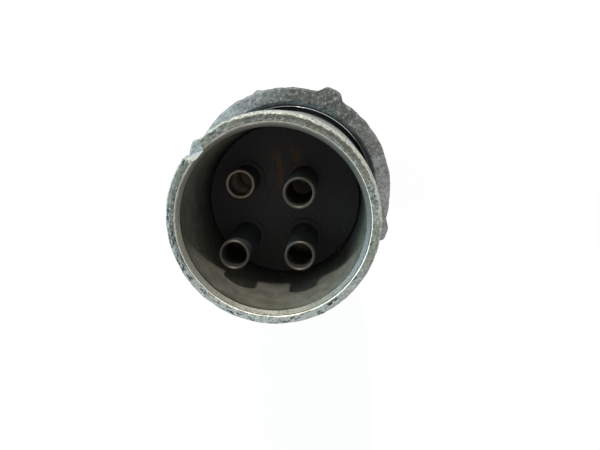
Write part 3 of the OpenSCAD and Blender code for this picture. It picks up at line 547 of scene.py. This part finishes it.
# a film in patches 1.4 mm across
film = add_node(tree, "TexNoise", {"Scale": 700, "Detail": 4, "Roughness": 0.6}, {"Vector": where})
tone = add_node(tree, "ValToRGB", {"stops": ((0.35, "#32393b"), (0.70, "#4b4e4c"))}, {0: film.outputs["Fac"]})
normal = add_node(tree, "NewGeometry").outputs["Normal"]
up = add_node(tree, "SeparateXYZ", {}, {0: normal}).outputs["Z"]
rim = add_node(tree, "MapRange", {"From Min": 0.35, "From Max": 0.6}, {0: up})
# the four tubes stand on a square of 11.99 mm: folded about its middle they share one axis
square_middle = (-1.813 * MM, -1.701 * MM, 0)
tube_axis = (5.995 * MM, 5.995 * MM, 0)
tube_bore = 2.36 * MM
from_middle = add_node(tree, "VectorMath", {"operation": "SUBTRACT", 1: square_middle}, {0: where})
folded = add_node(tree, "VectorMath", {"operation": "ABSOLUTE"}, {0: from_middle.outputs[0]})
level = add_node(tree, "VectorMath", {"operation": "MULTIPLY", 1: (1, 1, 0)}, {0: folded.outputs[0]})
from_axis = add_node(tree, "VectorMath", {"operation": "DISTANCE", 1: tube_axis}, {0: level.outputs[0]})
bore = add_node(tree, "MapRange", {"From Min": tube_bore + 0.04 * MM, "From Max": tube_bore},
                {0: from_axis.outputs["Value"]})
height = add_node(tree, "SeparateXYZ", {}, {0: where}).outputs["Z"]
# painted light: a pale colour deep in the bores, so that they show grey rather than black
low = add_node(tree, "MapRange", {"From Min": mouth_z - 18 * MM, "From Max": mouth_z - 22 * MM}, {0: height})
bore_painted_light = add_node(tree, "Mix", {"data_type": "RGBA", 6: paint("#403f3a"), 7: paint("#d2d1c8")},
                  {0: low.outputs[0]})
with_bore_light = add_node(tree, "Mix", {"data_type": "RGBA"},
                 {0: bore.outputs[0], 6: tone.outputs[0], 7: bore_painted_light.outputs[2]})
# painted light: the deeper a tip stands, the paler its rim, so the shaded deep rims show as bright as the lit
# ones
sunk = add_node(tree, "MapRange", {"From Min": mouth_z - 8 * MM, "From Max": mouth_z - 14 * MM}, {0: height})
tan = add_node(tree, "Mix", {"data_type": "RGBA", 6: paint("#403d34"), 7: paint("#8d846f")},
               {0: sunk.outputs[0]})
base = add_node(tree, "Mix", {"data_type": "RGBA"},
                {0: rim.outputs[0], 6: with_bore_light.outputs[2], 7: tan.outputs[2]})
rough = add_node(tree, "MapRange", {"To Min": 0.35, "To Max": 0.6}, {0: film.outputs["Fac"]})
skin = add_node(tree, "BsdfPrincipled", {"Metallic": 0.45},
                {"Base Color": base.outputs[2], "Roughness": rough.outputs[0]})
add_node(tree, "OutputMaterial", {}, {"Surface": skin.outputs[0]})
for name in ("contact_upper_left", "contact_upper_right", "contact_lower_left", "contact_lower_right"):
    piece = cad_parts[name]
    piece.data.materials.clear()
    piece.data.materials.append(plated)

# ---------------------------------------------------------------- coupling ring
# Gravity cast in aluminium, its outside left as cast, its mouth bored and threaded.
# Handling has rounded the lugs, and grime sits in the casting's pores.
ring_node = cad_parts["coupling_ring"]
bpy.ops.object.select_all(action="DESELECT")
ring_node.select_set(True)
bpy.context.view_layer.objects.active = ring_node
bpy.ops.object.duplicate()
ring = bpy.context.object
ring.name = "coupling_ring_cast"
bpy.ops.object.mode_set(mode="EDIT")
bpy.ops.mesh.select_all(action="SELECT")
bpy.ops.mesh.remove_doubles(threshold=0.002 * MM)
bpy.ops.object.mode_set(mode="OBJECT")
# the mouth's thread: a groove of 2 mm pitch, cut 0.95 mm deep, that starts 1.2 mm in front of
# the ring and winds seven turns down its bore
ring_front = mouth_z - 36.6 * MM
bore_r = 19.2 * MM
pitch = 2.0 * MM
thread_depth = 0.95 * MM
bpy.ops.mesh.primitive_circle_add(vertices=3, radius=thread_depth, rotation=(math.pi / 2, math.pi / 2, 0),
                                  location=(bore_r, 0, ring_front + 1.2 * MM))
groove = bpy.context.object
bpy.ops.object.transform_apply(location=True, rotation=True, scale=True)
turn = groove.modifiers.new("thread", "SCREW")
turn.axis = "Z"
turn.screw_offset = -pitch
turn.iterations = 7
turn.steps = turn.render_steps = 72
turn.use_merge_vertices = False
bpy.ops.object.modifier_apply(modifier="thread")
bpy.ops.object.mode_set(mode="EDIT")
bpy.ops.mesh.select_all(action="DESELECT")
bpy.ops.mesh.select_mode(type="EDGE")
bpy.ops.mesh.select_non_manifold()
bpy.ops.mesh.fill()
bpy.ops.mesh.select_all(action="SELECT")
bpy.ops.mesh.normals_make_consistent(inside=False)
bpy.ops.object.mode_set(mode="OBJECT")
bpy.context.view_layer.objects.active = ring
cut = ring.modifiers.new("thread", "BOOLEAN")
cut.object = groove
cut.solver = "EXACT"
bpy.ops.object.modifier_apply(modifier="thread")
bpy.data.objects.remove(groove)
# cells of 0.37 mm round the edges off and leave the groove about 0.5 mm deep; cast lumps 2.6 mm
# across then stand 0.13 mm proud at most
grid = ring.modifiers.new("grid", "REMESH")
grid.mode = "VOXEL"
grid.voxel_size = 0.37 * MM
bpy.ops.object.modifier_apply(modifier="grid")
lumps = bpy.data.textures.new("casting_lumps", "CLOUDS")
lumps.noise_scale = 2.6 * MM
lumps.noise_depth = 3
rough_cast = ring.modifiers.new("lumps", "DISPLACE")
rough_cast.texture = lumps
rough_cast.texture_coords = "LOCAL"
rough_cast.strength = 0.5 * MM
rough_cast.mid_level = 0.74
bpy.ops.object.modifier_apply(modifier="lumps")
bpy.ops.object.shade_smooth()
# the first crest of the thread, 0.22 mm wide and rubbed smooth by the sockets screwed in, with a painted
# glint: near white where it faces up and to the right
bpy.ops.object.select_all(action="DESELECT")
bpy.ops.mesh.primitive_torus_add(major_radius=bore_r + 0.02 * MM, minor_radius=0.11 * MM, major_segments=256,
                                 minor_segments=8, location=(0, 0, ring_front - 0.13 * MM))
lip = bpy.context.object
bpy.ops.object.transform_apply(location=True, rotation=True, scale=True)
bpy.ops.object.shade_smooth()
thread_glint = bpy.data.materials.new("aluminium_thread_painted_glint")
thread_glint.use_nodes = True
tree = thread_glint.node_tree
tree.nodes.clear()
where = add_node(tree, "TexCoord").outputs["Object"]
upward = add_node(tree, "VectorMath", {"operation": "DOT_PRODUCT", 1: (0.48, 0.88, 0)},
                  {0: where}).outputs["Value"]
# painted glint: near white only where the crest faces up and to the right
rubbed_and_glint = add_node(tree, "MapRange", {"From Min": 0.91 * bore_r, "From Max": 0.97 * bore_r}, {0: upward})
bright = add_node(tree, "ValToRGB", {"stops": ((0.05, "#686c6b"), (0.9, "#f2f3f0"))}, {0: rubbed_and_glint.outputs[0]})
sheen = add_node(tree, "MapRange", {"To Min": 0.45, "To Max": 0.14}, {0: rubbed_and_glint.outputs[0]})
skin = add_node(tree, "BsdfPrincipled", {"Metallic": 1.0},
                {"Base Color": bright.outputs[0], "Roughness": sheen.outputs[0]})
add_node(tree, "OutputMaterial", {}, {"Surface": skin.outputs[0]})
lip.data.materials.append(thread_glint)
cast = bpy.data.materials.new("aluminium_cast_weathered")
cast.use_nodes = True
tree = cast.node_tree
tree.nodes.clear()
where = add_node(tree, "TexCoord").outputs["Object"]
flat = add_node(tree, "VectorMath", {"operation": "MULTIPLY", 1: (1, 1, 0)}, {0: where})
radius = add_node(tree, "VectorMath", {"operation": "LENGTH"}, {0: flat.outputs[0]}).outputs["Value"]
# patches 4 mm across and pores of 0.8 mm
patches = add_node(tree, "TexNoise", {"Scale": 240, "Detail": 4, "Roughness": 0.65},
                   {"Vector": where}).outputs["Fac"]
pores = add_node(tree, "TexNoise", {"Scale": 1300, "Detail": 5, "Roughness": 0.7},
                 {"Vector": where}).outputs["Fac"]
tone = add_node(tree, "ValToRGB", {"stops": ((0.35, "#666865"), (0.65, "#909493"))}, {0: patches})
# the ring is darker and browner towards its upper right side
facing = add_node(tree, "VectorMath", {"operation": "NORMALIZE"}, {0: flat.outputs[0]})
towards_upper_right = add_node(tree, "VectorMath", {"operation": "DOT_PRODUCT", 1: (0.31, 0.95, 0)}, {0: facing.outputs[0]})
darker_upper_right = add_node(tree, "MapRange", {"From Min": 0.62, "From Max": 0.97, "To Max": 0.9},
                   {0: towards_upper_right.outputs["Value"]})
shaded = add_node(tree, "Mix", {"data_type": "RGBA", 7: paint("#45433c")},
                  {0: darker_upper_right.outputs[0], 6: tone.outputs[0]})
porous = add_node(tree, "MapRange", {"From Min": 0.52, "From Max": 0.66, "To Max": 0.75}, {0: pores})
pocked = add_node(tree, "Mix", {"data_type": "RGBA", 7: paint("#3b3a36")},
                  {0: porous.outputs[0], 6: shaded.outputs[2]})
machined_r = 20.25 * MM
bored = add_node(tree, "MapRange", {"From Min": machined_r + 0.2 * MM, "From Max": machined_r}, {0: radius})
machined = add_node(tree, "Mix", {"data_type": "RGBA", 7: paint("#6f7676")},
                    {0: bored.outputs[0], 6: pocked.outputs[2]})
# bare specks of 0.7 mm where the casting's grain has been knocked
knocked = add_node(tree, "TexNoise", {"Scale": 1500, "Detail": 3, "Roughness": 0.75},
                   {"Vector": where}).outputs["Fac"]
knocked = add_node(tree, "MapRange", {"From Min": 0.50, "From Max": 0.66, "To Max": 0.5}, {0: knocked})
height = add_node(tree, "SeparateXYZ", {}, {0: where}).outputs["Z"]
in_front = add_node(tree, "MapRange",
                    {"From Min": ring_front - 4 * MM, "From Max": ring_front - 1.5 * MM, "To Min": 0.4},
                    {0: height})
knocked = add_node(tree, "Math", {"operation": "MULTIPLY"}, {0: knocked.outputs[0], 1: in_front.outputs[0]})
machined = add_node(tree, "Mix", {"data_type": "RGBA", 7: paint("#a9aaa4")},
                    {0: knocked.outputs[0], 6: machined.outputs[2]})
bump = add_node(tree, "Bump", {"Strength": 0.8, "Distance": 0.25 * MM}, {"Height": pores})
bump.invert = True
skin = add_node(tree, "BsdfPrincipled", {"Metallic": 0.45, "Roughness": 0.6},
                {"Base Color": machined.outputs[2], "Normal": bump.outputs[0]})
add_node(tree, "OutputMaterial", {}, {"Surface": skin.outputs[0]})
ring.data.materials.clear()
ring.data.materials.append(cast)
bpy.ops.object.select_all(action="DESELECT")
lip.select_set(True)
ring.select_set(True)
bpy.context.view_layer.objects.active = ring
bpy.ops.object.join()
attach(ring, "ring")
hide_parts("coupling_ring")

# ---------------------------------------------------------------- snap ring, circlip and lock screws
# Spring steel: the snap ring behind the insulators' spacer, the coupling ring's round-wire
# circlip and two slotted grub screws. Blued once, now dull grey with a few rust specks.
steel = bpy.data.materials.new("spring_steel_blued_worn")
steel.use_nodes = True
tree = steel.node_tree
tree.nodes.clear()
where = add_node(tree, "TexCoord").outputs["Object"]
# wear in patches 1.1 mm across, and specks of 0.5 mm
wear = add_node(tree, "TexNoise", {"Scale": 900, "Detail": 5, "Roughness": 0.65},
                {"Vector": where}).outputs["Fac"]
specks = add_node(tree, "TexNoise", {"Scale": 1900, "Detail": 4, "Roughness": 0.7},
                  {"Vector": where}).outputs["Fac"]
grey = add_node(tree, "ValToRGB", {"stops": ((0.36, "#34373b"), (0.66, "#7d7d7a"))}, {0: wear})
rusty = add_node(tree, "MapRange", {"From Min": 0.60, "From Max": 0.68, "To Max": 0.85}, {0: specks})
rusted = add_node(tree, "Mix", {"data_type": "RGBA", 7: paint("#5a3b25")},
                  {0: rusty.outputs[0], 6: grey.outputs[0]})
bare = add_node(tree, "MapRange", {"From Min": 0.0, "From Max": 0.85, "To Min": 0.9, "To Max": 0.05},
                {0: rusty.outputs[0]})
dull = add_node(tree, "MapRange", {"To Min": 0.30, "To Max": 0.55}, {0: specks})
bump = add_node(tree, "Bump", {"Strength": 0.3, "Distance": 0.04 * MM}, {"Height": specks})
skin = add_node(tree, "BsdfPrincipled", {},
                {"Base Color": rusted.outputs[2], "Metallic": bare.outputs[0], "Roughness": dull.outputs[0],
                 "Normal": bump.outputs[0]})
add_node(tree, "OutputMaterial", {}, {"Surface": skin.outputs[0]})
for name in ("insert_snap_ring", "ring_circlip", "lock_screws"):
    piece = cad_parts[name]
    piece.data.materials.clear()
    piece.data.materials.append(steel)

# ---------------------------------------------------------------- back shell
# Cast in aluminium and turned outside, with a grooved collar for the hand and a cone down
# to the threaded neck. The collar's lands are rubbed bright, grime fills its grooves.
shell = bpy.data.materials.new("aluminium_cast_turned")
shell.use_nodes = True
tree = shell.node_tree
tree.nodes.clear()
where = add_node(tree, "TexCoord").outputs["Object"]
height = add_node(tree, "SeparateXYZ", {}, {0: where}).outputs["Z"]
flat = add_node(tree, "VectorMath", {"operation": "MULTIPLY", 1: (1, 1, 0)}, {0: where})
radius = add_node(tree, "VectorMath", {"operation": "LENGTH"}, {0: flat.outputs[0]}).outputs["Value"]
# patches 5 mm across and pits of 0.7 mm
patches = add_node(tree, "TexNoise", {"Scale": 210, "Detail": 4, "Roughness": 0.62},
                   {"Vector": where}).outputs["Fac"]
grain = add_node(tree, "TexNoise", {"Scale": 1500, "Detail": 5, "Roughness": 0.68},
                 {"Vector": where}).outputs["Fac"]
# scratches 0.6 mm wide along the plug, and turning lines 0.25 mm apart, coarser than a
# lathe's usual 0.1 mm so that they show
lines_at = add_node(tree, "Mapping", {"Scale": (0.03, 0.03, 1)}, {"Vector": where})
lines = add_node(tree, "TexNoise", {"Scale": 4000, "Detail": 2},
                 {"Vector": lines_at.outputs[0]}).outputs["Fac"]
along = add_node(tree, "Mapping", {"Scale": (1, 1, 0.06)}, {"Vector": where})
scratch = add_node(tree, "TexNoise", {"Scale": 1700, "Detail": 3, "Roughness": 0.6},
                   {"Vector": along.outputs[0]}).outputs["Fac"]
metal = add_node(tree, "ValToRGB", {"stops": ((0.36, "#84847f"), (0.66, "#93948f"))}, {0: patches})
scored = add_node(tree, "MapRange", {"From Min": 0.60, "From Max": 0.68, "To Max": 0.5}, {0: scratch})
lighter = add_node(tree, "Mix", {"data_type": "RGBA", 7: paint("#b7b9b5")},
                   {0: scored.outputs[0], 6: metal.outputs[0]})
pitted = add_node(tree, "MapRange", {"From Min": 0.60, "From Max": 0.68, "To Max": 0.8}, {0: grain})
pocked = add_node(tree, "Mix", {"data_type": "RGBA", 7: paint("#45443f")},
                  {0: pitted.outputs[0], 6: lighter.outputs[2]})
# grime in the collar's grooves and at the foot of the cone, bright lands between
collar_end = mouth_z - 70.1 * MM
cone_foot = mouth_z - 86.2 * MM
groove_floor = 21.05 * MM
land_r = 21.50 * MM
collar = add_node(tree, "MapRange", {"From Min": collar_end, "From Max": collar_end + 0.4 * MM}, {0: height})
groove = add_node(tree, "MapRange", {"From Min": groove_floor + 0.3 * MM, "From Max": groove_floor},
                  {0: radius})
groove = add_node(tree, "Math", {"operation": "MULTIPLY"}, {0: groove.outputs[0], 1: collar.outputs[0]})
low = add_node(tree, "MapRange",
               {"From Min": cone_foot, "From Max": cone_foot + 2 * MM, "To Min": 1, "To Max": 0}, {0: height})
grimy = add_node(tree, "Math", {"operation": "MAXIMUM"}, {0: groove.outputs[0], 1: low.outputs[0]})
grimy = add_node(tree, "Math", {"operation": "MULTIPLY", 1: 0.5}, {0: grimy.outputs[0]})
grimed = add_node(tree, "Mix", {"data_type": "RGBA", 7: paint("#403e38")},
                  {0: grimy.outputs[0], 6: pocked.outputs[2]})
land = add_node(tree, "MapRange", {"From Min": land_r - 0.1 * MM, "From Max": land_r, "To Max": 0.45},
                {0: radius})
base = add_node(tree, "Mix", {"data_type": "RGBA", 7: paint("#a5a6a1")},
                {0: land.outputs[0], 6: grimed.outputs[2]})
dull = add_node(tree, "MapRange", {"To Min": 0.36, "To Max": 0.62}, {0: grain})
relief = add_node(tree, "Math", {"operation": "MULTIPLY_ADD", 1: 0.5}, {0: lines, 2: grain})
bump = add_node(tree, "Bump", {"Strength": 0.4, "Distance": 0.08 * MM}, {"Height": relief.outputs[0]})
skin = add_node(tree, "BsdfPrincipled", {"Metallic": 0.8},
                {"Base Color": base.outputs[2], "Roughness": dull.outputs[0], "Normal": bump.outputs[0]})
add_node(tree, "OutputMaterial", {}, {"Surface": skin.outputs[0]})
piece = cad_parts["back_shell"]
piece.data.materials.clear()
piece.data.materials.append(shell)

# ---------------------------------------------------------------- gland nut
# Milled from aluminium hexagon bar. Its corners are bruised bright by spanners and grey
# dirt lies on the flats.
nut = bpy.data.materials.new("aluminium_milled_bruised")
nut.use_nodes = True
tree = nut.node_tree
tree.nodes.clear()
where = add_node(tree, "TexCoord").outputs["Object"]
flat = add_node(tree, "VectorMath", {"operation": "MULTIPLY", 1: (1, 1, 0)}, {0: where})
radius = add_node(tree, "VectorMath", {"operation": "LENGTH"}, {0: flat.outputs[0]}).outputs["Value"]
# dirt in patches 4 mm across and pits of 0.55 mm
dirt = add_node(tree, "TexNoise", {"Scale": 260, "Detail": 5, "Roughness": 0.65},
                {"Vector": where}).outputs["Fac"]
grain = add_node(tree, "TexNoise", {"Scale": 1800, "Detail": 4, "Roughness": 0.7},
                 {"Vector": where}).outputs["Fac"]
# cutter marks 0.35 mm apart across the flats
marks_at = add_node(tree, "Mapping", {"Scale": (0.05, 0.05, 1)}, {"Vector": where})
marks = add_node(tree, "TexNoise", {"Scale": 2850, "Detail": 2},
                 {"Vector": marks_at.outputs[0]}).outputs["Fac"]
metal = add_node(tree, "ValToRGB", {"stops": ((0.36, "#5f5e58"), (0.64, "#8e8f8a"))}, {0: dirt})
pitted = add_node(tree, "MapRange", {"From Min": 0.61, "From Max": 0.69, "To Max": 0.8}, {0: grain})
pocked = add_node(tree, "Mix", {"data_type": "RGBA", 7: paint("#3f3e39")},
                  {0: pitted.outputs[0], 6: metal.outputs[0]})
uneven = add_node(tree, "MapRange", {"To Min": -0.5 * MM, "To Max": 0.5 * MM}, {0: grain})
bruise_at = add_node(tree, "Math", {"operation": "ADD"}, {0: radius, 1: uneven.outputs[0]})
corner_r = 17.5 * MM
bruised = add_node(tree, "MapRange", {"From Min": corner_r - 0.4 * MM, "From Max": corner_r, "To Max": 0.85},
                   {0: bruise_at.outputs[0]})
base = add_node(tree, "Mix", {"data_type": "RGBA", 7: paint("#c6c7c3")},
                {0: bruised.outputs[0], 6: pocked.outputs[2]})
dull = add_node(tree, "MapRange", {"To Min": 0.34, "To Max": 0.60}, {0: grain})
relief = add_node(tree, "Math", {"operation": "MULTIPLY_ADD", 1: 0.6}, {0: marks, 2: grain})
bump = add_node(tree, "Bump", {"Strength": 0.4, "Distance": 0.08 * MM}, {"Height": relief.outputs[0]})
skin = add_node(tree, "BsdfPrincipled", {"Metallic": 0.8},
                {"Base Color": base.outputs[2], "Roughness": dull.outputs[0], "Normal": bump.outputs[0]})
add_node(tree, "OutputMaterial", {}, {"Surface": skin.outputs[0]})
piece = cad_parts["gland_nut"]
piece.data.materials.clear()
piece.data.materials.append(nut)
